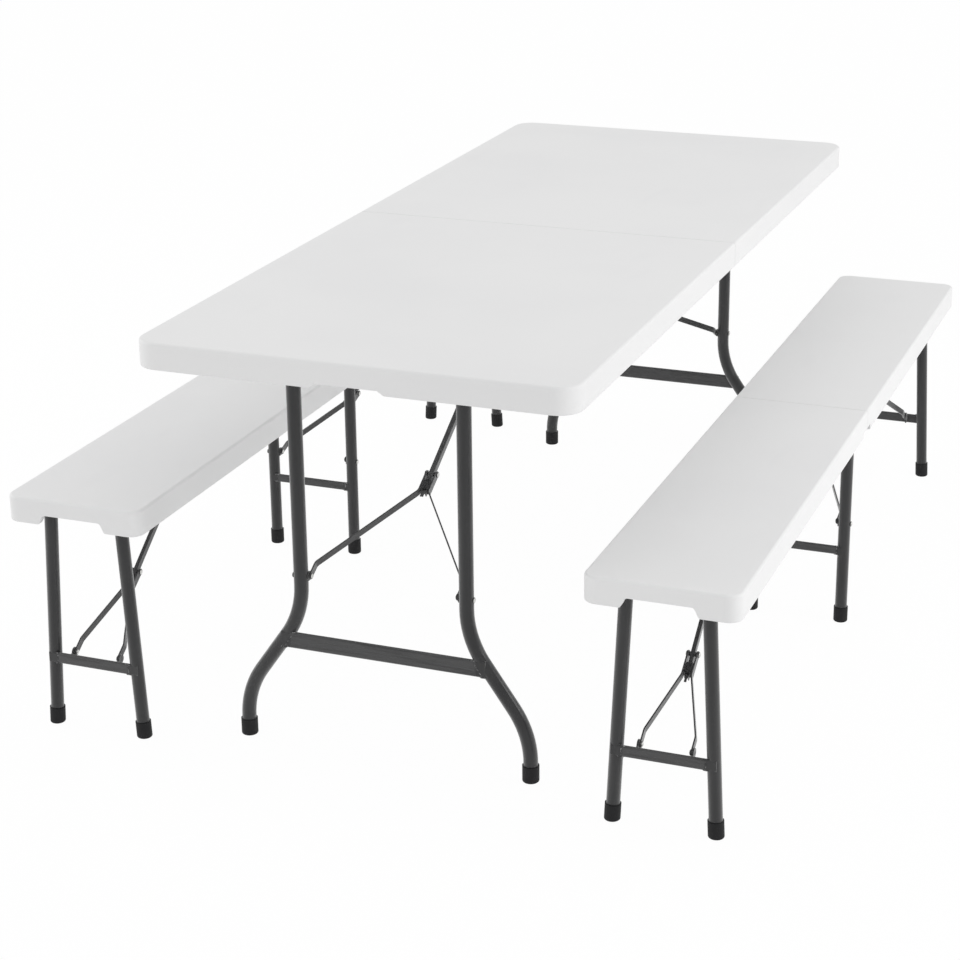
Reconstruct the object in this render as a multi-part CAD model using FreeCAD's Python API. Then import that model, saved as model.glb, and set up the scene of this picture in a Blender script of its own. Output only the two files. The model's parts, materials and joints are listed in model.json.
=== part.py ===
import FreeCAD, Part
import math
import os
from types import SimpleNamespace

# A folding camping set: one table and two benches, each moulded in two halves
# that hinge at mid length, on steel leg frames that fold in under the halves.
# Millimetres. X runs across the table, Y along it and Z up. The origin is on
# the floor under the middle of the table, and the near end is at minus Y.

Vector = FreeCAD.Vector

# Overall sizes
table_length = 1830.0
table_width = 760.0
table_height = 740.0
bench_length = 1830.0
bench_width = 255.0
bench_height = 440.0
bench_offset = 515.0

# Moulded halves
table_corner_radius = 42.0
bench_corner_radius = 24.0
table_wall = 14.0
bench_wall = 11.0
skirt_depth = 46.0
recess_depth = 32.0
top_edge_radius = 5.0
skirt_edge_radius = 2.5
seam_gap = 1.0
seam_wall = 8.0
table_notch_width = 132.0
table_notch_height = 8.0
table_notch_slope = 12.0
bench_notch_width = 134.0
bench_notch_height = 18.0
bench_notch_slope = 16.0
seam_notch_length = 28.0
seam_notch_height = 12.0

# Side rails, and the hinge between the halves
table_rail_width = 16.0
bench_rail_width = 9.0
rail_height = 22.0
rail_wall = 1.6
rail_side_gap = 1.5
rail_end_gap = 6.0
rail_overhang = 14.0
hinge_ear_radius = 9.0
hinge_ear_thickness = 3.0
hinge_ear_length = 60.0
hinge_ear_slope = 10.0
hinge_ear_gap = 0.4
hinge_pin_radius = 3.5
hinge_head_radius = 6.0
hinge_head_thickness = 2.0
hinge_notch_gap = 2.0

# Leg frames: places of the axles and tubes
axle_rise = 15.5
table_axle_inset = 122.0
bench_axle_inset = 47.0
bench_middle_axle_place = 20.0
table_axle_radius = 11.0
bench_axle_radius = 9.0
axle_end_gap = 1.0
axle_stub_radius = 5.0
table_tube_radius = 12.5
bench_tube_radius = 11.5
tube_wall = 1.5
table_leg_spread = 150.0
table_foot_spread = 261.0
table_bend_degrees = 35.0
table_upper_bend_radius = 165.0
table_lower_bend_radius = 165.0
table_lower_bend_height = 34.0
bench_leg_spread = 67.0
bench_foot_spread = 87.0
bench_middle_spread = 89.0

# Crossbars near the feet
table_bar_height = 196.5
table_bar_width = 30.0
table_bar_length = 372.0
table_bar_thickness = 7.0
bench_bar_height = 130.0
bench_bar_width = 20.0
bench_bar_thickness = 6.0
middle_bar_height = 149.0
middle_bar_width = 17.0

# Foot caps
table_foot_radius = 14.5
bench_foot_radius = 13.5
foot_height = 30.0
foot_sole = 8.0
foot_edge_radius = 3.0
foot_fit = 0.15

# Folding braces: reach is measured from the leg's axle towards the middle, and a
# hub's shares are of the height between its arm pivot and the axle
table_arm_pivot_height = 314.0
table_arm_pivot_reach = 4.0
table_hub_reach_share = 0.56005
table_hub_rise_share = 0.30973
bench_arm_pivot_height = 139.0
bench_arm_pivot_reach = 6.0
bench_hub_reach_share = 0.5638
bench_hub_rise_share = 0.3678
middle_arm_pivot_height = 202.5
middle_arm_pivot_reach = 7.0
middle_hub_reach_share = 1.0628
middle_hub_rise_share = 0.3357
bench_tab_spread = 44.0
link_pivot_rise = 5.0
table_link_width = 9.0
bench_link_width = 7.0
link_height = 10.0
link_wall = 1.5
link_end = 6.0
hub_boss_radius = 4.0
tongue_length = 54.0
middle_tongue_length = 14.0
tongue_tip = 8.0
arm_width = 12.0
arm_thickness = 2.5
arm_gap = 0.4
arm_bend_radius = 14.0
arm_straight = 42.0
arm_elbow = 26.0
pivot_radius = 3.0
pivot_fit = 0.1
rivet_head_radius = 5.0
rivet_head_thickness = 1.4
lug_thickness = 3.0
lug_radius = 8.0
lug_inset = 0.8
cheek_thickness = 2.5
cheek_drop = 8.0
bracket_base = 2.0
bracket_length = 22.0

# Lock rings that slide on the links
ring_length = 20.0
ring_wall = 2.6
ring_fit = 0.3
ring_corner_radius = 3.0
end_ring_place = -29.0
middle_ring_place = 17.0

# Room left past a cut's faces
overrun = 1.0

# The two kinds of furniture, each with its own sizes
table = SimpleNamespace(
    length=table_length, width=table_width, height=table_height, wall=table_wall,
    corner_radius=table_corner_radius, notch_width=table_notch_width,
    notch_height=table_notch_height, notch_slope=table_notch_slope, notch_curved=False,
    rail_width=table_rail_width, axle_inset=table_axle_inset, axle_radius=table_axle_radius,
    link_width=table_link_width)
bench = SimpleNamespace(
    length=bench_length, width=bench_width, height=bench_height, wall=bench_wall,
    corner_radius=bench_corner_radius, notch_width=bench_notch_width,
    notch_height=bench_notch_height, notch_slope=bench_notch_slope, notch_curved=True,
    rail_width=bench_rail_width, axle_inset=bench_axle_inset, axle_radius=bench_axle_radius,
    link_width=bench_link_width)
for kind in (table, bench):
    kind.rim = kind.height - skirt_depth
    kind.panel = kind.rim + recess_depth
    kind.axle_height = kind.rim + axle_rise
    kind.axle_place = kind.length / 2 - kind.axle_inset
    kind.rail_outer = kind.width / 2 - kind.wall - rail_side_gap
    kind.rail_inner = kind.rail_outer - kind.rail_width
    kind.outer_ear = kind.rail_inner - hinge_ear_thickness
    kind.inner_ear = kind.outer_ear - hinge_ear_gap - hinge_ear_thickness
    kind.ring_side = kind.link_width / 2 + ring_fit + ring_wall
    kind.arm_side = kind.ring_side + arm_gap

# The three kinds of leg frame
table_frame = SimpleNamespace(
    kind=table, tube_radius=table_tube_radius, foot_radius=table_foot_radius,
    arm_pivot=(table_arm_pivot_reach, table_arm_pivot_height),
    hub_shares=(table_hub_reach_share, table_hub_rise_share), folds_back=True, tongue=tongue_length,
    lug_face=table_leg_spread - table_tube_radius + lug_inset, ring_place=end_ring_place)
end_frame = SimpleNamespace(
    kind=bench, tube_radius=bench_tube_radius, foot_radius=bench_foot_radius,
    arm_pivot=(bench_arm_pivot_reach, bench_arm_pivot_height),
    hub_shares=(bench_hub_reach_share, bench_hub_rise_share), folds_back=True, tongue=tongue_length,
    lug_face=bench_tab_spread + lug_thickness, ring_place=end_ring_place)
middle_frame = SimpleNamespace(
    kind=bench, tube_radius=bench_tube_radius, foot_radius=bench_foot_radius,
    arm_pivot=(middle_arm_pivot_reach, middle_arm_pivot_height),
    hub_shares=(middle_hub_reach_share, middle_hub_rise_share), folds_back=False,
    tongue=middle_tongue_length,
    lug_face=bench_middle_spread - bench_tube_radius + lug_inset, ring_place=middle_ring_place)


def box(x0, x1, y0, y1, z0, z1):
    """A block between two corners."""
    return Part.makeBox(x1 - x0, y1 - y0, z1 - z0, Vector(x0, y0, z0))


def rod(start, end, radius):
    """A round bar from one point to another."""
    along = end - start
    return Part.makeCylinder(radius, along.Length, start, along)


def cross_pin(x0, x1, reach, height, radius):
    """A round pin across the part, along X."""
    return rod(Vector(x0, reach, height), Vector(x1, reach, height), radius)


def fused(shapes):
    """The shapes as one clean solid."""
    return shapes[0].multiFuse(shapes[1:]).removeSplitter()


def prism(points, x0, x1):
    """An outline given as (y, z) points, extruded along X."""
    wire = Part.makePolygon([Vector(x0, y, z) for y, z in points + points[:1]])
    return Part.Face(wire).extrude(Vector(x1 - x0, 0, 0))


def both_sides(shape):
    """The shape and its mirror image across the middle of its furniture."""
    return [shape, shape.mirror(Vector(), Vector(1, 0, 0))]


def at_far_end(shape):
    """The mirror image of a near-end shape at the far end."""
    return shape.mirror(Vector(), Vector(0, 1, 0))


def half_plan(kind, inset, seam, height):
    """Plan of the near half, square at the seam and rounded at its outer corners."""
    x = kind.width / 2 - inset
    y = -kind.length / 2 + inset
    radius = kind.corner_radius - inset
    bulge = radius * math.sqrt(0.5)
    left, right = -x + radius, x - radius
    centre = y + radius
    points = [
        Vector(-x, seam, height), Vector(-x, centre, height),
        Vector(left - bulge, centre - bulge, height), Vector(left, y, height),
        Vector(right, y, height), Vector(right + bulge, centre - bulge, height),
        Vector(x, centre, height), Vector(x, seam, height)]
    edges = [
        Part.LineSegment(points[0], points[1]), Part.Arc(*points[1:4]),
        Part.LineSegment(points[3], points[4]), Part.Arc(*points[4:7]),
        Part.LineSegment(points[6], points[7]), Part.LineSegment(points[7], points[0])]
    return Part.Face(Part.Wire([edge.toShape() for edge in edges]))


def end_notch(kind):
    """The grip notch cut in the lower edge of the end wall: slanted ends, or S-curved ones."""
    y0 = -kind.length / 2 - overrun
    deep = kind.wall + overrun + overrun
    low = kind.rim - overrun
    high = kind.rim + kind.notch_height
    foot = kind.notch_width / 2
    crown = foot - kind.notch_slope
    if not kind.notch_curved:
        rise = [Vector(foot, y0, kind.rim), Vector(crown, y0, high)]
        right = [Part.LineSegment(*rise).toShape()]
    else:
        middle = Vector((foot + crown) / 2, y0, (kind.rim + high) / 2)
        curve = Part.BezierCurve()
        curve.setPoles([
            Vector(foot, y0, kind.rim), Vector(middle.x, y0, kind.rim),
            Vector(middle.x, y0, high), Vector(crown, y0, high)])
        right = [curve.toShape()]
    left = [edge.mirror(Vector(), Vector(1, 0, 0)) for edge in right]
    crown_line = Part.LineSegment(Vector(-crown, y0, high), Vector(crown, y0, high)).toShape()
    sill = [Vector(foot, y0, kind.rim), Vector(foot, y0, low),
            Vector(-foot, y0, low), Vector(-foot, y0, kind.rim)]
    edges = right + left + [crown_line] + [
        Part.LineSegment(a, b).toShape() for a, b in zip(sill, sill[1:])]
    wire = Part.Wire(Part.__sortEdges__(edges))
    return Part.Face(wire).extrude(Vector(0, deep, 0))


def hinge_window(kind):
    """The slots in a seam wall that the hinge ears pass through."""
    x0 = kind.inner_ear - hinge_ear_gap - hinge_head_thickness - hinge_notch_gap
    x1 = kind.rail_inner + hinge_head_thickness + hinge_notch_gap
    top = kind.rim + hinge_ear_radius + hinge_notch_gap
    slot = box(x0, x1, -seam_gap - seam_wall - overrun, overrun, kind.rim - overrun, top)
    return both_sides(slot)


def moulded_half(kind):
    """The near half: a panel with a rounded skirt, open below where the legs fold in."""
    seam = -seam_gap / 2
    body = half_plan(kind, 0, seam, kind.rim).extrude(Vector(0, 0, skirt_depth))
    crown = [edge for edge in body.Edges
             if edge.BoundBox.ZMin > kind.panel and edge.BoundBox.YMin < seam - overrun]
    body = body.makeFillet(top_edge_radius, crown)
    sole = [edge for edge in body.Edges
            if edge.BoundBox.ZMax < kind.rim + overrun and edge.BoundBox.YMin < seam - overrun]
    body = body.makeFillet(skirt_edge_radius, sole)
    recess = half_plan(kind, kind.wall, seam - seam_wall, kind.rim - overrun)
    cuts = [recess.extrude(Vector(0, 0, recess_depth + overrun)), end_notch(kind)]
    cuts += hinge_window(kind)
    edge = kind.width / 2
    if kind.notch_curved:
        cuts += both_sides(box(
            edge - kind.wall - overrun, edge + overrun, -seam_notch_length, overrun,
            kind.rim - overrun, kind.rim + seam_notch_height))
    return body.cut(cuts)


def rail_pair(kind, axle_places, far):
    """Two side rails with their hinge ears, drawn at the near end, for the near half or the far one."""
    seam = -seam_gap / 2 - seam_wall - rail_end_gap
    end = -kind.axle_place - rail_overhang
    low = kind.panel - rail_height
    rail = box(kind.rail_inner, kind.rail_outer, end, seam, low, kind.panel)
    hollow = box(
        kind.rail_inner + rail_wall, kind.rail_outer - rail_wall, end - overrun, seam + overrun,
        low + rail_wall, kind.panel - rail_wall)
    rail = rail.cut(hollow)
    root = -hinge_ear_length
    slope = seam - hinge_ear_slope
    high = kind.panel - rail_wall
    outline = [
        (0, kind.rim + hinge_ear_radius), (seam, kind.rim + hinge_ear_radius), (slope, high),
        (root, high), (root, low), (slope, low), (0, kind.rim - hinge_ear_radius)]
    inner = kind.outer_ear if far else kind.inner_ear
    outer = inner + hinge_ear_thickness
    pieces = [rail, prism(outline, inner, outer), cross_pin(inner, outer, 0, kind.rim, hinge_ear_radius)]
    if not far:
        pieces.append(box(inner, kind.rail_inner, root, slope - hinge_ear_slope, low, high))
    holes = [cross_pin(inner - overrun, outer + overrun, 0, kind.rim, hinge_pin_radius + pivot_fit)]
    for place in axle_places:
        holes.append(cross_pin(
            kind.outer_ear - overrun, kind.rail_outer + overrun, place, kind.axle_height,
            axle_stub_radius + pivot_fit))
    return both_sides(fused(pieces).cut(holes))


def brace_bracket(kind, place):
    """The bracket under the panel that a brace link's upper pin turns in."""
    inner = kind.link_width / 2 + arm_gap
    outer = inner + cheek_thickness
    pin_height = kind.axle_height + link_pivot_rise
    half = bracket_length / 2
    base = box(-outer, outer, place - half, place + half, kind.panel - bracket_base, kind.panel)
    pieces = [base]
    for side in (-1, 1):
        near, far = sorted((side * inner, side * outer))
        pieces.append(box(near, far, place - half, place + half, pin_height, kind.panel))
        pieces.append(cross_pin(near, far, place, pin_height, cheek_drop))
    bracket = fused(pieces)
    above = box(-outer, outer, place - half, place + half, kind.panel, kind.panel + cheek_drop)
    hole = cross_pin(-outer - overrun, outer + overrun, place, pin_height, pivot_radius + pivot_fit)
    return bracket.cut([hole, above])


def hinge_pins(kind):
    """The two pins that join the halves, headed at both ends."""
    inner = kind.inner_ear - hinge_ear_gap
    outer = kind.rail_inner + hinge_ear_gap
    head = hinge_head_thickness
    pin = fused([
        cross_pin(inner, outer, 0, kind.rim, hinge_pin_radius),
        cross_pin(inner - head, inner, 0, kind.rim, hinge_head_radius),
        cross_pin(outer, outer + head, 0, kind.rim, hinge_head_radius)])
    return both_sides(pin)


def brace_points(frame):
    """Pivots of a brace as (reach, height): the link pivot is where the brace also lies flat when folded."""
    axle = frame.kind.axle_height
    arm = frame.arm_pivot
    drop = axle - arm[1]
    reach_share, rise_share = frame.hub_shares
    hub = (reach_share * drop, arm[1] + rise_share * drop)
    length = math.dist(arm, hub)
    folded_arm = (drop, axle + arm[0])
    step = -length if frame.folds_back else length
    folded_hub = (folded_arm[0] + step, folded_arm[1])
    high = axle + link_pivot_rise
    squares = folded_hub[0] ** 2 - hub[0] ** 2 + (folded_hub[1] - high) ** 2 - (hub[1] - high) ** 2
    link_pivot = (squares / (folded_hub[0] - hub[0]) / 2, high)
    return SimpleNamespace(arm=arm, hub=hub, link_pivot=link_pivot, folded_hub=folded_hub)


def laid(shape, start, end):
    """A brace piece drawn along Y from the origin, turned to run from start towards end."""
    turn = math.degrees(math.atan2(end[1] - start[1], end[0] - start[0]))
    shape = shape.copy()
    shape.rotate(Vector(), Vector(1, 0, 0), turn)
    shape.translate(Vector(0, *start))
    return shape


def swung(shape, frame):
    """A link piece drawn for a brace that folds back, turned over for one that folds out."""
    return shape if frame.folds_back else shape.mirror(Vector(), Vector(0, 0, 1))


def brace_link(frame):
    """The upper link: a pressed channel with its pin above and a tongue past the hub."""
    points = brace_points(frame)
    half = frame.kind.link_width / 2
    deep = link_height / 2
    length = math.dist(points.hub, points.link_pivot)
    mouth = -frame.tongue + tongue_tip
    channel = box(-half, half, mouth, length + link_end, -deep, deep)
    channel = channel.cut(box(
        -half + link_wall, half - link_wall, mouth - overrun, length + link_end + overrun,
        -deep - overrun, deep - link_wall))
    tongue = box(-half + link_wall, half - link_wall, -frame.tongue, 0, deep - link_wall, deep)
    reach = half + arm_gap + cheek_thickness
    pin = cross_pin(-reach, reach, length, 0, pivot_radius)
    boss_side = frame.kind.arm_side - pivot_fit
    boss = cross_pin(-boss_side, boss_side, 0, 0, hub_boss_radius)
    return laid(swung(fused([channel, tongue, pin, boss]), frame), points.hub, points.link_pivot)


def lock_ring(frame):
    """The lock ring that slides on the link, between the arms."""
    points = brace_points(frame)
    side = frame.kind.ring_side
    high = link_height / 2 + ring_fit + ring_wall
    y0 = frame.ring_place - ring_length / 2
    y1 = frame.ring_place + ring_length / 2
    outer = box(-side, side, y0, y1, -high, high)
    corners = [edge for edge in outer.Edges if edge.BoundBox.YLength > ring_length / 2]
    outer = outer.makeFillet(ring_corner_radius, corners)
    inner = box(
        -side + ring_wall, side - ring_wall, y0 - overrun, y1 + overrun,
        -high + ring_wall, high - ring_wall)
    return laid(swung(outer.cut(inner), frame), points.hub, points.link_pivot)


def strip(points, half):
    """A flat strip of the given half thickness along (x, y) points, with rounded bends."""
    sides = {1: [], -1: []}
    flat = [Vector(x, y, 0) for x, y in points]
    ends = {side: [] for side in sides}
    runs = [(b - a).normalize() for a, b in zip(flat, flat[1:])]
    left = [Vector(-run.y, run.x, 0) for run in runs]
    for side in sides:
        last = flat[0] + left[0] * side * half
        ends[side].append(last)
        for place, before, after, normal, turned in zip(flat[1:], runs, runs[1:], left, left[1:]):
            turn = before.getAngle(after)
            way = 1 if before.cross(after).z > 0 else -1
            tangent = arm_bend_radius * math.tan(turn / 2)
            first = place - before * tangent
            centre = first + normal * way * arm_bend_radius
            radius = arm_bend_radius - way * side * half
            start = first + normal * side * half
            stop = place + after * tangent + turned * side * half
            middle = centre + (place - centre).normalize() * radius
            sides[side].append(Part.LineSegment(last, start).toShape())
            sides[side].append(Part.Arc(start, middle, stop).toShape())
            last = stop
        final = flat[-1] + left[-1] * side * half
        sides[side].append(Part.LineSegment(last, final).toShape())
        ends[side].append(final)
    caps = [Part.LineSegment(a, b).toShape() for a, b in zip(ends[1], ends[-1])]
    return Part.Face(Part.Wire(Part.__sortEdges__(sides[1] + sides[-1] + caps)))


def brace_arms(frame):
    """The two cranked straps from the leg lugs to the hub, each with its riveted pins."""
    points = brace_points(frame)
    length = math.dist(points.arm, points.hub)
    half = arm_thickness / 2
    outer = frame.lug_face - lug_thickness - arm_gap
    hub_side = frame.kind.arm_side
    path = [
        (outer - half, 0), (outer - half, arm_elbow),
        (hub_side + half, length - arm_straight), (hub_side + half, length)]
    strap = strip(path, half).extrude(Vector(0, 0, arm_width))
    strap.translate(Vector(0, 0, -arm_width / 2))
    head = rivet_head_thickness
    pieces = [
        strap,
        cross_pin(outer - arm_thickness, outer, 0, 0, arm_width / 2),
        cross_pin(hub_side, hub_side + arm_thickness, length, 0, arm_width / 2),
        cross_pin(outer, frame.lug_face - arm_gap, 0, 0, pivot_radius),
        cross_pin(outer - arm_thickness - head, outer, 0, 0, rivet_head_radius),
        cross_pin(hub_side, hub_side + arm_thickness + head, length, 0, rivet_head_radius)]
    arm = fused(pieces)
    return both_sides(laid(arm, points.arm, points.hub))


def lug(frame, x0, x1, back):
    """A pierced plate for an arm's pin, rounded about it, reaching back to its carrier."""
    reach, height = frame.arm_pivot
    plate = box(x0, x1, back, reach, height - lug_radius, height + lug_radius)
    return [plate, cross_pin(x0, x1, reach, height, lug_radius)]


def lug_holes(frame):
    """The holes for the arms' pins in both lugs."""
    reach, height = frame.arm_pivot
    x0 = frame.lug_face - lug_thickness - overrun
    return both_sides(cross_pin(x0, frame.lug_face, reach, height, pivot_radius + pivot_fit))


def axle(kind):
    """The cross tube that a leg frame turns on, with a stub at each end for the rails."""
    high = kind.axle_height
    end = kind.outer_ear - axle_end_gap
    tube = cross_pin(-end, end, 0, high, kind.axle_radius)
    stubs = cross_pin(-kind.rail_outer, kind.rail_outer, 0, high, axle_stub_radius)
    return [tube, stubs], cross_pin(
        -end + axle_stub_radius, end - axle_stub_radius, 0, high, kind.axle_radius - tube_wall)


def bent_leg(radius, bottom):
    """A table leg: straight down from the axle, cranked outwards, then straight to its foot."""
    turn = math.radians(table_bend_degrees)
    top, low = table.axle_height, table_lower_bend_height
    foot, spread = table_foot_spread, table_leg_spread
    lower, upper = table_lower_bend_radius, table_upper_bend_radius
    lower_centre = Vector(foot - lower, 0, low)
    slant_low = lower_centre + Vector(lower * math.cos(turn), 0, lower * math.sin(turn))
    slant_top_x = spread + upper * (1 - math.cos(turn))
    slant = (slant_low.x - slant_top_x) / math.tan(turn)
    slant_top = Vector(slant_top_x, 0, slant_low.z + slant)
    upper_centre = Vector(spread + upper, 0, slant_top.z + upper * math.sin(turn))
    half_turn = turn / 2
    upper_middle = upper_centre - Vector(upper * math.cos(half_turn), 0, upper * math.sin(half_turn))
    lower_middle = lower_centre + Vector(lower * math.cos(half_turn), 0, lower * math.sin(half_turn))
    bend_top = Vector(spread, 0, upper_centre.z)
    bend_end = Vector(foot, 0, low)
    start, stop = Vector(spread, 0, top), Vector(foot, 0, bottom)
    edges = [
        Part.LineSegment(start, bend_top), Part.Arc(bend_top, upper_middle, slant_top),
        Part.LineSegment(slant_top, slant_low), Part.Arc(slant_low, lower_middle, bend_end),
        Part.LineSegment(bend_end, stop)]
    path = Part.Wire([edge.toShape() for edge in edges])
    ring = Part.Wire(Part.Circle(start, Vector(0, 0, 1), radius).toShape())
    return path.makePipeShell([ring], True, False)


def straight_leg(frame, top_spread, foot_spread, radius, bottom):
    """A bench leg from the axle to just above the floor, square to its own length."""
    top = Vector(top_spread, 0, frame.kind.axle_height)
    foot = Vector(foot_spread, 0, 0)
    along = (foot - top).normalize()
    stop = foot - along * bottom
    return rod(top, stop, radius)


def flat_bar(width, thickness, height, half_length, front):
    """A crossbar of flat oval tube, its outer face at front."""
    core = box(-half_length, half_length, front, front + thickness,
               height - width / 2 + thickness / 2, height + width / 2 - thickness / 2)
    middle = front + thickness / 2
    edges = [cross_pin(-half_length, half_length, middle, height + side * (width - thickness) / 2,
                       thickness / 2) for side in (-1, 1)]
    return fused([core] + edges)


def table_leg_frame():
    """The table's welded leg frame, at reach zero."""
    radius = table_tube_radius
    outers, bore = axle(table)
    legs = both_sides(bent_leg(radius, foot_sole))
    bores = both_sides(bent_leg(radius - tube_wall, foot_sole - overrun))
    bar = flat_bar(table_bar_width, table_bar_thickness, table_bar_height,
                   table_bar_length / 2, -radius)
    lugs = lug(table_frame, table_frame.lug_face - lug_thickness, table_frame.lug_face, 0)
    outer_face = table_leg_spread + radius - lug_inset
    lugs.append(cross_pin(outer_face, outer_face + lug_inset + rivet_head_thickness, 0,
                          table_arm_pivot_height, rivet_head_radius))
    solids = outers + legs + [bar] + [piece for one in lugs for piece in both_sides(one)]
    return fused(solids).cut(bores + [bore] + lug_holes(table_frame))


def bench_end_leg_frame():
    """A bench's welded end frame: splayed legs, a flat crossbar and two tabs, at reach zero."""
    radius = bench_tube_radius
    outers, bore = axle(bench)
    spreads = (bench_leg_spread, bench_foot_spread)
    legs = both_sides(straight_leg(end_frame, *spreads, radius, foot_sole))
    bores = both_sides(straight_leg(end_frame, *spreads, radius - tube_wall, foot_sole - overrun))
    bar = flat_bar(bench_bar_width, bench_bar_thickness, bench_bar_height, bench_foot_spread, -radius)
    front = -radius + bench_bar_thickness / 2
    x0, x1 = end_frame.lug_face - lug_thickness, end_frame.lug_face
    reach, height = end_frame.arm_pivot
    low = bench_bar_height - bench_bar_width / 2 + bench_bar_thickness / 2
    tab = [box(x0, x1, front, reach, low, height), cross_pin(x0, x1, reach, height, lug_radius)]
    solids = outers + legs + [bar] + [piece for one in tab for piece in both_sides(one)]
    return fused(solids).cut(bores + [bore] + lug_holes(end_frame))


def bench_middle_leg_frame():
    """A bench's welded middle frame: upright legs and a flat crossbar, at reach zero."""
    radius = bench_tube_radius
    spread = bench_middle_spread
    outers, bore = axle(bench)
    legs = both_sides(straight_leg(middle_frame, spread, spread, radius, foot_sole))
    bores = both_sides(straight_leg(middle_frame, spread, spread, radius - tube_wall, foot_sole - overrun))
    bar = flat_bar(middle_bar_width, bench_bar_thickness, middle_bar_height, spread, -radius)
    lugs = lug(middle_frame, middle_frame.lug_face - lug_thickness, middle_frame.lug_face, 0)
    outer_face = spread + radius - lug_inset
    lugs.append(cross_pin(outer_face, outer_face + lug_inset + rivet_head_thickness, 0,
                          middle_arm_pivot_height, rivet_head_radius))
    solids = outers + legs + [bar] + [piece for one in lugs for piece in both_sides(one)]
    return fused(solids).cut(bores + [bore] + lug_holes(middle_frame))


def foot_pair(frame, top_spread, foot_spread):
    """Two foot caps in line with their tubes, cut flat on the floor."""
    tube_top = Vector(top_spread, 0, frame.kind.axle_height)
    floor = Vector(foot_spread, 0, 0)
    along = (tube_top - floor).normalize()
    cap = rod(floor - along * foot_sole, floor + along * foot_height, frame.foot_radius)
    reach = frame.foot_radius + frame.foot_radius
    under = box(foot_spread - reach, foot_spread + reach, -reach, reach, -reach, 0)
    cap = cap.cut(under)
    sole = [edge for edge in cap.Edges if edge.BoundBox.ZMax < overrun]
    cap = cap.makeFillet(foot_edge_radius, sole)
    bore = rod(floor + along * foot_sole, floor + along * (foot_height + foot_sole),
               frame.tube_radius + foot_fit)
    return both_sides(cap.cut(bore))


def moved(shape, x, y):
    """A copy of a shape set down at x and y."""
    shape = shape.copy()
    shape.translate(Vector(x, y, 0))
    return shape


def write(node, shapes, x=0):
    """Write one node's solids, moved across to their piece of furniture."""
    placed = [moved(shape, x, 0) for shape in shapes]
    solids = [solid for shape in placed for solid in shape.Solids]
    body = solids[0] if len(solids) == 1 else Part.makeCompound(solids)
    body.exportStep(os.path.join("parts", node + ".step"))


def frame_pieces(frame, leg_frame, feet):
    """The named pieces of one leg frame and its brace, at reach zero."""
    return {
        "leg_frame": [leg_frame], "feet": feet, "brace_link": [brace_link(frame)],
        "brace_arms": brace_arms(frame), "lock_ring": [lock_ring(frame)]}


def write_furniture(name, top_name, kind, frames, x):
    """Write one table or bench: frames lists (place name, leg frame, its pieces, axle place)."""
    half = moulded_half(kind)
    write(f"{name}_{top_name}_near", [half], x)
    write(f"{name}_{top_name}_far", [at_far_end(half)], x)
    near_brackets, far_brackets, far_axles = [], [], []
    for place_name, frame, pieces, place in frames:
        bracket = brace_bracket(kind, place + brace_points(frame).link_pivot[0])
        for piece, shapes in pieces.items():
            shapes = [moved(shape, 0, place) for shape in shapes]
            if place_name == "far":
                shapes = [at_far_end(shape) for shape in shapes]
            write(f"{name}_{piece}_{place_name}", shapes, x)
        if place_name == "near":
            near_brackets.append(bracket)
        else:
            far_axles.append(-abs(place))
            far_brackets.append(at_far_end(bracket) if place_name == "far" else bracket)
    near_rails = rail_pair(kind, [-kind.axle_place], False)
    far_rails = [at_far_end(rail) for rail in rail_pair(kind, far_axles, True)]
    write(f"{name}_underframe_near", near_rails + near_brackets, x)
    write(f"{name}_underframe_far", far_rails + far_brackets, x)
    write(f"{name}_hinge_pins", hinge_pins(kind), x)


os.makedirs("parts", exist_ok=True)
table_pieces = frame_pieces(
    table_frame, table_leg_frame(), foot_pair(table_frame, table_foot_spread, table_foot_spread))
end_pieces = frame_pieces(
    end_frame, bench_end_leg_frame(), foot_pair(end_frame, bench_leg_spread, bench_foot_spread))
middle_pieces = frame_pieces(
    middle_frame, bench_middle_leg_frame(),
    foot_pair(middle_frame, bench_middle_spread, bench_middle_spread))
write_furniture("table", "top", table, [
    ("near", table_frame, table_pieces, -table.axle_place),
    ("far", table_frame, table_pieces, -table.axle_place)], 0)
bench_frames = [
    ("near", end_frame, end_pieces, -bench.axle_place),
    ("middle", middle_frame, middle_pieces, bench_middle_axle_place),
    ("far", end_frame, end_pieces, -bench.axle_place)]
for name, side in (("left_bench", -1), ("right_bench", 1)):
    write_furniture(name, "seat", bench, bench_frames, side * bench_offset)
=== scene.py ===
import json
import math

import bpy
import numpy as np
from mathutils import Matrix, Vector


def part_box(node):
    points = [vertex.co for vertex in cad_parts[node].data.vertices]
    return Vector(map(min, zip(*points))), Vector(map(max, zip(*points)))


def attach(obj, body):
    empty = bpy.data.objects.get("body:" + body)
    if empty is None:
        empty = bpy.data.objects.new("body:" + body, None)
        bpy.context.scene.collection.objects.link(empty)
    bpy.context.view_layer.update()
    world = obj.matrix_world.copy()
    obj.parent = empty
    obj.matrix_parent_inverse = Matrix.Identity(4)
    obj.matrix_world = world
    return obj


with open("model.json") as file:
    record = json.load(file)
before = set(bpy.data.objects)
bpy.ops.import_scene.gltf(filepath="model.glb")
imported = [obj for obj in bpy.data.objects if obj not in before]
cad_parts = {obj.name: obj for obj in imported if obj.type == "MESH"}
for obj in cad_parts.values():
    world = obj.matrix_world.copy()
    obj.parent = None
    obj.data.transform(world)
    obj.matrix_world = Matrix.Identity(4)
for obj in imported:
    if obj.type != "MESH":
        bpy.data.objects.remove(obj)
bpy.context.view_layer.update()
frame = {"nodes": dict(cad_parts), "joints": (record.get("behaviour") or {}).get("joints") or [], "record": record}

# Camera, as fitted to the photograph: pixels of a 960 px frame, metres and radians.
picture_px = 960
sensor_mm = 36.0
focal_px = 2249.4
optical_axis_px = (500.0, 430.0)
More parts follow.
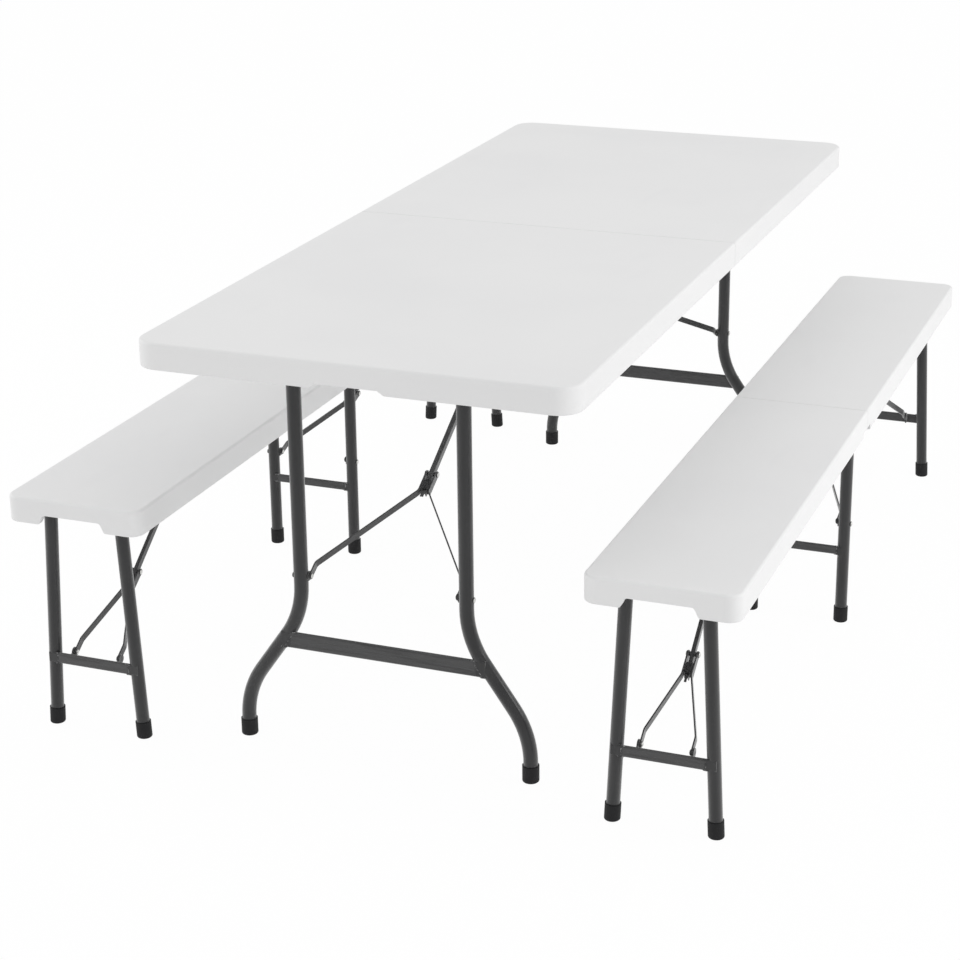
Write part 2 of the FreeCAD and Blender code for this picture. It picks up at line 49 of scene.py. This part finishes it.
camera_place = (1.4102, -3.9407, 1.8041)
camera_yaw = -0.3639
camera_pitch = 0.3391
camera_roll = -0.0089

# Sizes of the brace and leg fittings, in metres.
arm_half_width = 0.006
arm_thickness = 0.0025
lug_thickness = 0.003
boss_gap = 0.0001
pin_setback = 0.0003
head_thickness = 0.0014
table_leg_spread = 0.150
table_tube_radius = 0.0125
middle_leg_spread = 0.089
bench_tube_radius = 0.0115
bench_leg_spread = 0.067
bench_foot_spread = 0.087

# Crossbars: middle height, width and half the length that shows, in metres.
table_bar_height = 0.1965
table_bar_width = 0.030
table_bar_half_length = 0.172
bench_bar_height = 0.130
bench_bar_width = 0.020
bench_bar_half_length = 0.069
middle_bar_height = 0.149
middle_bar_width = 0.017
middle_bar_half_length = 0.078
bench_offset = 0.515

# Side rails under the halves, in metres: across from the middle line, and the underside's height.
rails = {"table": (0.3565, 0.704), "left_bench": (0.1105, 0.404), "right_bench": (0.1105, 0.404)}
rail_screw_places = (0.12, 0.31, 0.50, 0.69)

# Rivets, screws and weld beads, in metres.
rivet_radius = 0.0042
rivet_rise = 0.0018
seat_overlap = 0.0003
screw_radius = 0.0042
screw_rise = 0.0022
screw_shoulder_share = 0.6
socket_radius_share = 0.42
socket_floor_share = 0.85
socket_wall_share = 0.35
socket_middle_share = 0.3
turn_steps = 28
rivet_steps = 8
screw_steps = 6
bead_steps = 41
bead_ripple_share = 0.13
bead_pitch_share = 0.9
bead_end_power = 6

# Weld beads at the crossbars, in metres. The table's legs lean and stand apart there as their bend has it.
table_weld_lean = -0.7
table_weld_across = 0.1836
weld_setback = 0.0016
edge_weld_setback = 0.0008
edge_weld_inner = 0.006
edge_weld_outer = 0.007
edge_weld_radius = 0.0017
end_weld_radius = 0.0019
end_weld_share = 0.45
weld_inner_share = 0.95

# Colours, linear.
white_plastic = (0.83, 0.83, 0.83, 1)
white_plastic_shadowed = (0.79, 0.79, 0.795, 1)
coat_grey = (0.012, 0.012, 0.013, 1)
coat_grey_light = (0.028, 0.028, 0.029, 1)
# Painted light: the flat crossbars' lighter grey stands in for the light their faces catch.
painted_lit_bar_grey = (0.050, 0.050, 0.051, 1)
coat_streak = (0.006, 0.006, 0.006, 1)
rubber_black = (0.007, 0.007, 0.008, 1)
rubber_dust = (0.026, 0.025, 0.024, 1)
nylon_black = (0.010, 0.010, 0.011, 1)
zinc = (0.66, 0.66, 0.64, 1)
zinc_dull = (0.45, 0.45, 0.44, 1)
weld_grey = (0.30, 0.30, 0.302, 1)
floor_white = (0.96, 0.96, 0.96, 1)
pure_white = (1, 1, 1, 1)

# Looks that are the same all over: the coat's sheen, and how much of the floor is white of its own.
coat_sheen = 0.6
coat_sheen_roughness = 0.5
floor_white_share = 0.97

# Light: the world's level where it lights the object, and the lamps' places, target, size and power.
world_level = 0.80
left_lamp_place = (-3.4, -0.6, 1.7)
right_lamp_place = (3.4, -0.2, 1.7)
lamp_target = (0, 0, 0.5)
lamp_size = 1.6
left_lamp_power = 23.0
right_lamp_power = 29.0

# Floor grid: half its width in metres, and its squares along one side.
floor_reach = 30.0
floor_squares = 8


class Value:
    """A value in a material's nodes; arithmetic on it adds the Math nodes that work it out."""

    def __init__(self, finish, socket):
        self.finish = finish
        self.socket = socket

    def math(self, operation, first, second):
        return self.finish.node("ShaderNodeMath", {"operation": operation}, {0: first, 1: second})

    def __add__(self, other):
        return self.math("ADD", self, other)

    def __sub__(self, other):
        return self.math("SUBTRACT", self, other)

    def __mul__(self, other):
        return self.math("MULTIPLY", self, other)

    def __rsub__(self, other):
        return self.math("SUBTRACT", other, self)

    __radd__ = __add__
    __rmul__ = __mul__


class Nodes:
    """The nodes of a material or of the world, added one by one from Python."""

    def __init__(self, owner):
        owner.use_nodes = True
        self.tree = owner.node_tree

    def node(self, kind, settings=None, inputs=None, output=0):
        """Add a node of this kind, set its settings, then fill or link its sockets."""
        node = self.tree.nodes.new(kind)
        for name, value in (settings or {}).items():
            setattr(node, name, value)
        for name, value in (inputs or {}).items():
            self.fill(node.inputs[name], value)
        return Value(self, node.outputs[output])

    def fill(self, socket, value):
        """Link a value to a socket, or set a plain number or colour on it."""
        if isinstance(value, Value):
            self.tree.links.new(value.socket, socket)
        else:
            socket.default_value = value

    def seen(self):
        """One to the camera, in gloss and through clear pieces, and zero to light."""
        path = self.node("ShaderNodeLightPath").socket.node
        camera, gloss, clear = (Value(self, path.outputs[f"Is {kind} Ray"])
                                for kind in ("Camera", "Glossy", "Transmission"))
        return self.node("ShaderNodeMath", {"operation": "MINIMUM"}, {0: camera + gloss + clear, 1: 1.0})

    def places(self, stretch=(1, 1, 1)):
        """Object coordinates, stretched per axis."""
        raw = self.node("ShaderNodeTexCoord", output=3)
        return self.node("ShaderNodeMapping", None, {"Vector": raw, "Scale": stretch})

    def noise(self, scale, detail=3.0, stretch=(1, 1, 1)):
        """Noise of about one lump per 1 / scale metres."""
        return self.node("ShaderNodeTexNoise", None, {
            "Vector": self.places(stretch), "Scale": scale, "Detail": detail})

    def parted(self, vector):
        """The three parts of a vector."""
        split = self.node("ShaderNodeSeparateXYZ", None, {0: vector}).socket.node
        return [Value(self, part) for part in split.outputs]

    def band(self, value, low, high):
        """A value mapped smoothly from 0 at low to 1 at high."""
        return self.node("ShaderNodeMapRange", {"interpolation_type": "SMOOTHSTEP"}, {
            "Value": value, "From Min": low, "From Max": high})

    def mixed(self, factor, first, second):
        """One colour turning into another with the factor."""
        return self.node("ShaderNodeMix", {"data_type": "RGBA"}, {0: factor, 6: first, 7: second}, 2)

    def bumped(self, height, strength, distance):
        """A normal bent by a height."""
        return self.node("ShaderNodeBump", None, {
            "Strength": strength, "Distance": distance, "Height": height})


class Finish(Nodes):
    """A material and its shader."""

    def __init__(self, name):
        self.material = bpy.data.materials.new(name)
        super().__init__(self.material)
        self.surface = self.tree.nodes["Principled BSDF"]
        self.output = self.tree.nodes["Material Output"]

    def dress(self, **sockets):
        """Fill the shader's own sockets, named with underscores for spaces."""
        for name, value in sockets.items():
            self.fill(self.surface.inputs[name.replace("_", " ")], value)
        return self.material


def moulded_white():
    """White blow-moulded polyethylene: a fine pebble, a little cloudiness and faint handling marks."""
    finish = Finish("moulded_white")
    cloud_share, mark_share = 0.5, 0.35
    roughness, pebble_roughness, mark_polish = 0.56, 0.08, 0.07
    pebble = finish.noise(scale=620.0, detail=2.0)
    cloud = finish.band(finish.noise(scale=2.6, detail=3.0), low=0.35, high=0.75)
    marks = finish.band(finish.noise(scale=14.0, detail=5.0, stretch=(1, 0.35, 1)), low=0.60, high=0.78)
    colour = finish.mixed(cloud * cloud_share + marks * mark_share, white_plastic, white_plastic_shadowed)
    return finish.dress(
        Base_Color=colour, Roughness=roughness + pebble * pebble_roughness - marks * mark_polish,
        Normal=finish.bumped(pebble, strength=0.22, distance=0.0004), IOR=1.5)


def powder_coated_grey(name, middle, bar_height, bar_width, bar_half_length):
    """Dark grey powder coat: a fine skin drawn along the legs, scuffed, and grained along the flat crossbars. The
    crossbars are also painted a lighter grey, standing in for the light their flat faces catch.

    A place is on a crossbar where its squared distances from the bar's middle, across and in height, are
    within the squares of the bar's half length and half width.
    """
    finish = Finish(name)
    drawn_share, scuff_share, streak_share, grain_height = 0.6, 0.3, 0.5, 3.0
    roughness, hammer_roughness, scuff_polish, streak_roughness = 0.18, 0.10, 0.04, 0.16
    end_fade_share, edge_fade_share = 0.92, 1.1
    x, _, z = finish.parted(finish.places())
    hammer = finish.noise(scale=420.0, detail=2.0)
    drawn = finish.band(finish.noise(scale=34.0, detail=4.0, stretch=(1, 1, 0.12)), low=0.3, high=0.72)
    scuff = finish.band(finish.noise(scale=52.0, detail=6.0), low=0.64, high=0.74)
    across = (x - middle) * (x - middle)
    above = (z - bar_height) * (z - bar_height)
    end, edge = bar_half_length ** 2, (bar_width / 2) ** 2
    past_end = finish.band(across, low=end * end_fade_share, high=end)
    past_edge = finish.band(above, low=edge, high=edge * edge_fade_share)
    on_bar = (1 - past_end) * (1 - past_edge)
    grain = finish.noise(scale=260.0, detail=5.0, stretch=(0.045, 1, 1))
    streak = finish.band(grain, low=0.48, high=0.66) * on_bar
    coat = finish.mixed(drawn * drawn_share + scuff * scuff_share, coat_grey, coat_grey_light)
    # Painted light: the crossbars get a lighter grey for the light their flat faces catch; the dark streaks on
    # them are real grain.
    face = finish.mixed(on_bar, coat, painted_lit_bar_grey)
    return finish.dress(
        Base_Color=finish.mixed(streak * streak_share, face, coat_streak),
        Roughness=roughness + hammer * hammer_roughness - scuff * scuff_polish + streak * streak_roughness,
        Normal=finish.bumped(hammer + grain * on_bar * grain_height, strength=0.16, distance=0.0005),
        IOR=1.4, Sheen_Weight=coat_sheen, Sheen_Roughness=coat_sheen_roughness)


def black_rubber():
    """Matt black rubber with dust rubbed into it."""
    finish = Finish("black_rubber")
    dust_share, roughness, dust_roughness = 0.6, 0.62, 0.15
    grain = finish.noise(scale=700.0, detail=2.0)
    dust = finish.band(finish.noise(scale=60.0, detail=5.0), low=0.52, high=0.8)
    return finish.dress(
        Base_Color=finish.mixed(dust * dust_share, rubber_black, rubber_dust),
        Roughness=roughness + dust * dust_roughness,
        Normal=finish.bumped(grain, strength=0.25, distance=0.0004), IOR=1.35)


def black_nylon():
    """Black moulded plastic of the lock rings, a little polished where it slides."""
    finish = Finish("black_nylon")
    polish_share, roughness, polish_smoothness = 0.25, 0.48, 0.12
    grain = finish.noise(scale=500.0, detail=2.0)
    polish = finish.band(finish.noise(scale=90.0, detail=3.0), low=0.5, high=0.75)
    return finish.dress(
        Base_Color=finish.mixed(polish * polish_share, nylon_black, rubber_dust),
        Roughness=roughness - polish * polish_smoothness,
        Normal=finish.bumped(grain, strength=0.15, distance=0.0003))


def bright_zinc():
    """Bright zinc plate, dulled in patches and finely brushed."""
    finish = Finish("bright_zinc")
    dull_share, roughness, dull_roughness, brushed_roughness = 0.7, 0.26, 0.14, 0.05
    brushed = finish.noise(scale=900.0, detail=2.0, stretch=(1, 1, 0.15))
    dull = finish.band(finish.noise(scale=160.0, detail=4.0), low=0.45, high=0.7)
    return finish.dress(
        Base_Color=finish.mixed(dull * dull_share, zinc, zinc_dull), Metallic=1.0,
        Roughness=roughness + dull * dull_roughness + brushed * brushed_roughness,
        Normal=finish.bumped(brushed, strength=0.1, distance=0.0002))


def coated_weld():
    """A weld bead under the coat, lighter grey in random patches."""
    finish = Finish("coated_weld")
    light_patch_share, roughness, lump_roughness = 0.8, 0.38, 0.2
    lump = finish.noise(scale=600.0, detail=3.0)
    light_patches = finish.band(finish.noise(scale=300.0, detail=2.0), low=0.45, high=0.7)
    return finish.dress(
        # Lighter grey in random patches of noise.
        Base_Color=finish.mixed(light_patches * light_patch_share, coat_grey, weld_grey),
        Roughness=roughness + lump * lump_roughness,
        Normal=finish.bumped(lump, strength=0.4, distance=0.0006))


def pale_floor():
    """A white floor that keeps a faint shadow: white of its own to camera and gloss, plain matt to light."""
    finish = Finish("pale_floor")
    roughness, speckle_roughness = 0.9, 0.05
    speckle = finish.noise(scale=40.0, detail=2.0)
    matt = finish.dress(Base_Color=floor_white, Roughness=roughness + speckle * speckle_roughness)
    white = finish.node("ShaderNodeEmission", None, {"Color": pure_white, "Strength": 1.0})
    finish.fill(finish.output.inputs["Surface"], finish.node("ShaderNodeMixShader", None, {
        0: finish.seen() * floor_white_share, 1: Value(finish, finish.surface.outputs[0]), 2: white}))
    return matt


def turned(profile, base, axis):
    """A closed surface of revolution.

    The profile is rows of (radius, height), zero in radius at both ends. Point (i, j) is
    base + height_i * axis + radius_i * (cos(angle_j) * side + sin(angle_j) * other), where side and other
    are square to the axis and to each other. The two end rows shrink to one point each.
    """
    axis = np.array(axis, float) / np.linalg.norm(axis)
    helper = np.array((0.0, 0.0, 1.0)) if abs(axis[2]) < 0.9 else np.array((1.0, 0.0, 0.0))
    side = np.cross(helper, axis)
    side /= np.linalg.norm(side)
    other = np.cross(axis, side)
    angle = np.linspace(0, 2 * np.pi, turn_steps, endpoint=False)
    around = np.cos(angle)[:, None] * side + np.sin(angle)[:, None] * other
    radius, height = profile[1:-1, 0], profile[1:-1, 1]
    rings = base + height[:, None, None] * axis + radius[:, None, None] * around
    first = base + profile[0, 1] * axis
    last = base + profile[-1, 1] * axis
    points = np.vstack((first, rings.reshape(-1, 3), last))
    count = len(radius)
    j = np.arange(turn_steps)
    after = (j + 1) % turn_steps
    i = np.arange(count - 1)[:, None] * turn_steps + 1
    quads = np.stack((i + j, i + after, i + turn_steps + after, i + turn_steps + j), -1).reshape(-1, 4)
    top = 1 + (count - 1) * turn_steps
    low_fan = np.stack((np.zeros_like(j), 1 + after, 1 + j), -1)
    high_fan = np.stack((np.full_like(j, len(points) - 1), top + j, top + after), -1)
    return points, quads.tolist() + low_fan.tolist() + high_fan.tolist()


def rivet(base, axis):
    """A domed rivet head: radius R cos(a) at height H sin(a), closed by a disc let a little into its seat."""
    angle = np.linspace(0, np.pi / 2, rivet_steps)
    dome = np.stack((rivet_radius * np.cos(angle), rivet_rise * np.sin(angle)), -1)
    dome[-1, 0] = 0
    foot = np.array(((0, -seat_overlap), (rivet_radius, -seat_overlap)))
    return turned(np.vstack((foot, dome)), np.array(base, float), axis)


def screw(base, axis):
    """A pan-head screw: flat crown with a rounded shoulder and a dished socket in the middle."""
    share = np.linspace(0, np.pi / 2, screw_steps)
    shoulder = screw_rise * screw_shoulder_share
    rim = np.stack((screw_radius - shoulder * (1 - np.cos(share)),
                    screw_rise - shoulder * (1 - np.sin(share))), -1)
    socket_radius = screw_radius * socket_radius_share
    socket = np.array((
        (socket_radius, screw_rise),
        (socket_radius * socket_floor_share, screw_rise * socket_wall_share),
        (0, screw_rise * socket_middle_share)))
    foot = np.array(((0, -seat_overlap), (screw_radius, -seat_overlap)))
    return turned(np.vstack((foot, rim, socket)), np.array(base, float), axis)


def weld_bead(start, end, radius):
    """A weld bead along a line, for s from -1 to 1 along it.

    A spindle of radius R (1 - s^6), rippled along its length by a sine.
    """
    start, end = np.array(start, float), np.array(end, float)
    length = np.linalg.norm(end - start)
    s = np.linspace(-1, 1, bead_steps)
    ripples = length / (radius * bead_pitch_share)
    swell = radius * (1 - s ** bead_end_power) * (1 + bead_ripple_share * np.sin(np.pi * ripples * s))
    profile = np.stack((swell, (s + 1) / 2 * length), -1)
    profile[[0, -1], 0] = 0
    return turned(profile, start, end - start)


def piece(name, surfaces, body, material):
    """One object made of several closed surfaces, riding on a body."""
    offsets = np.cumsum([0] + [len(points) for points, _ in surfaces])
    points = np.vstack([points for points, _ in surfaces])
    faces = [[corner + offset for corner in face]
             for (_, faces), offset in zip(surfaces, offsets) for face in faces]
    mesh = bpy.data.meshes.new(name)
    mesh.from_pydata(points.tolist(), [], faces)
    mesh.polygons.foreach_set("use_smooth", [True] * len(mesh.polygons))
    mesh.materials.append(material)
    shown = bpy.data.objects.new(name, mesh)
    bpy.context.scene.collection.objects.link(shown)
    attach(shown, body)
    return shown


bench_bar = (bench_bar_height, bench_bar_width, bench_bar_half_length)
middle_bar = (middle_bar_height, middle_bar_width, middle_bar_half_length)
materials = {
    "white_plastic": moulded_white(), "black_rubber": black_rubber(), "black_plastic": black_nylon(),
    "plated_steel": bright_zinc(), "weld": coated_weld()}
coats = {
    "table": powder_coated_grey("table_coat", 0.0, table_bar_height, table_bar_width, table_bar_half_length),
    "left_bench": powder_coated_grey("left_bench_coat", -bench_offset, *bench_bar),
    "right_bench": powder_coated_grey("right_bench_coat", bench_offset, *bench_bar)}
middle_coats = {
    "left_bench": powder_coated_grey("left_bench_middle_coat", -bench_offset, *middle_bar),
    "right_bench": powder_coated_grey("right_bench_middle_coat", bench_offset, *middle_bar)}
for subpart in frame["record"]["subparts"]:
    shown = frame["nodes"][subpart["node"]]
    unit = next(name for name in coats if subpart["node"].startswith(name))
    shown.data.materials.clear()
    coat = middle_coats[unit] if subpart["node"].endswith("_middle") else coats[unit]
    shown.data.materials.append(materials.get(subpart["material_slot"], coat))

joint_places = {joint["name"]: joint.get("pos_m") for joint in frame["joints"]}


def mirrored_places(middle, across, y, z):
    """The same point on both sides of a furniture's middle line, with the outward direction along X."""
    return [((middle + side * across, y, z), (side, 0, 0)) for side in (-1, 1)]


def dress_brace(unit, place):
    """Rivets of one brace: at the hub, at the leg lugs, and on the bracket's pin."""
    base = f"{unit}_{place}"
    arms_low, arms_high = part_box(f"{unit}_brace_arms_{place}")
    boss_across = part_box(f"{unit}_brace_link_{place}")[1].x
    middle, arm_y, arm_z = joint_places[f"{base}_arms_swing"]
    boss_across -= middle
    _, pin_y, pin_z = joint_places[f"{base}_link_swing"]
    hub_y = arms_low.y + arm_half_width if place == "far" else arms_high.y - arm_half_width
    hub_z = arms_high.z - arm_half_width
    hub_across = boss_across + boss_gap + arm_thickness + head_thickness
    lug_across = arms_high.x - middle - lug_thickness - arm_thickness - head_thickness
    hub = [rivet(*spot) for spot in mirrored_places(middle, hub_across, hub_y, hub_z)]
    lugs = [rivet(spot, (-way[0], 0, 0)) for spot, way in mirrored_places(middle, lug_across, arm_y, arm_z)]
    piece(f"{base}_arm_rivets", hub + lugs, f"{base}_arms", materials["plated_steel"])
    pins = [rivet(*spot) for spot in mirrored_places(middle, boss_across - pin_setback, pin_y, pin_z)]
    piece(f"{base}_pin_rivets", pins, f"{base}_link", materials["plated_steel"])
    if unit == "table":
        outside = table_leg_spread + table_tube_radius + head_thickness
    elif place == "middle":
        outside = middle_leg_spread + bench_tube_radius + head_thickness
    else:
        return
    leg_y = joint_places[f"{base}_leg_fold"][1]
    heads = [rivet(*spot) for spot in mirrored_places(middle, outside, leg_y, arm_z)]
    piece(f"{base}_leg_rivets", heads, f"{base}_legs", materials["plated_steel"])


def dress_crossbar(unit, place):
    """Weld beads where a flat crossbar meets its two legs: along its ends, and over its top and bottom edges.
    """
    base = f"{unit}_{place}"
    middle, leg_y, axle_z = joint_places[f"{base}_leg_fold"]
    out = 1 if place == "far" else -1
    if unit == "table":
        high, wide, radius = table_bar_height, table_bar_width, table_tube_radius
        lean, across = table_weld_lean, table_weld_across
    elif place == "middle":
        high, wide, radius = middle_bar_height, middle_bar_width, bench_tube_radius
        lean, across = 0.0, middle_leg_spread
    else:
        high, wide, radius = bench_bar_height, bench_bar_width, bench_tube_radius
        lean = (bench_leg_spread - bench_foot_spread) / axle_z
        across = bench_foot_spread + lean * high
    face = leg_y + out * (radius - weld_setback)
    inner = across - radius * weld_inner_share
    beads = []
    for side in (-1, 1):
        for rise in (-1, 1):
            z = high + rise * (wide / 2 - edge_weld_setback)
            x = middle + side * (inner + lean * (z - high))
            start = (x - side * edge_weld_inner, face, z)
            stop = (x + side * edge_weld_outer, face, z)
            beads.append(weld_bead(start, stop, edge_weld_radius))
        foot, head = high - wide * end_weld_share, high + wide * end_weld_share
        beads.append(weld_bead(
            (middle + side * (inner + lean * (foot - high)), face, foot),
            (middle + side * (inner + lean * (head - high)), face, head), end_weld_radius))
    piece(f"{base}_bar_welds", beads, f"{base}_legs", materials["weld"])


def dress_rails(unit, half):
    """Screws up through the two side rails of one half."""
    across, under = rails[unit]
    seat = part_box(f"{unit}_underframe_{half}")
    middle = (seat[0].x + seat[1].x) / 2
    end = 1 if half == "far" else -1
    screws = [screw((middle + side * across, end * place, under), (0, 0, -1))
              for side in (-1, 1) for place in rail_screw_places]
    piece(f"{unit}_rail_screws_{half}", screws, f"{unit}_{half}_half",
          materials["plated_steel"])


brace_places = {"table": ("near", "far"), "left_bench": ("near", "middle", "far"),
                "right_bench": ("near", "middle", "far")}
for unit, places in brace_places.items():
    for place in places:
        dress_brace(unit, place)
        dress_crossbar(unit, place)
        if place != "middle":
            dress_rails(unit, place)


def floor():
    """A plain floor as a flat grid, far wider than the view."""
    lines = floor_squares + 1
    steps = np.linspace(-floor_reach, floor_reach, lines)
    x, y = np.meshgrid(steps, steps, indexing="ij")
    points = np.stack((x, y, np.zeros_like(x)), -1).reshape(-1, 3)
    along = np.arange(floor_squares)
    corner = (along[:, None] * lines + along).reshape(-1)
    faces = np.stack((corner, corner + lines, corner + lines + 1, corner + 1), -1)
    mesh = bpy.data.meshes.new("floor")
    mesh.from_pydata(points.tolist(), [], faces.tolist())
    mesh.materials.append(pale_floor())
    shown = bpy.data.objects.new("floor", mesh)
    bpy.context.scene.collection.objects.link(shown)


def lamp(name, place, power):
    """A square soft lamp at a place, turned to the object."""
    light = bpy.data.lights.new(name, "AREA")
    light.size = lamp_size
    light.energy = power
    shown = bpy.data.objects.new(name, light)
    shown.location = place
    aim = Vector(lamp_target) - Vector(place)
    shown.rotation_euler = aim.to_track_quat("-Z", "Y").to_euler()
    bpy.context.scene.collection.objects.link(shown)


def studio():
    """Even soft light with a lamp at each side, in front of a white background."""
    world = bpy.data.worlds.new("studio")
    bpy.context.scene.world = world
    nodes = Nodes(world)
    seen = nodes.seen()
    background = nodes.tree.nodes["Background"]
    background.inputs["Color"].default_value = pure_white
    nodes.fill(background.inputs["Strength"], seen + (1 - seen) * world_level)
    lamp("left", left_lamp_place, left_lamp_power)
    lamp("right", right_lamp_place, right_lamp_power)


def photo_camera():
    """The photograph's camera: yawed, pitched down and rolled, its optical axis off the picture's middle."""
    data = bpy.data.cameras.new("photo_camera")
    data.sensor_width = sensor_mm
    data.sensor_fit = "HORIZONTAL"
    data.lens = focal_px / picture_px * sensor_mm
    half = picture_px / 2
    data.shift_x = (half - optical_axis_px[0]) / picture_px
    data.shift_y = (optical_axis_px[1] - half) / picture_px
    shown = bpy.data.objects.new("photo_camera", data)
    turn = Matrix.Rotation(-camera_yaw, 4, "Z") @ Matrix.Rotation(math.pi / 2 - camera_pitch, 4, "X")
    shown.matrix_world = Matrix.Translation(camera_place) @ turn @ Matrix.Rotation(camera_roll, 4, "Z")
    bpy.context.scene.collection.objects.link(shown)
    bpy.context.scene.camera = shown


floor()
studio()
photo_camera()
bpy.context.scene.view_settings.view_transform = "Standard"
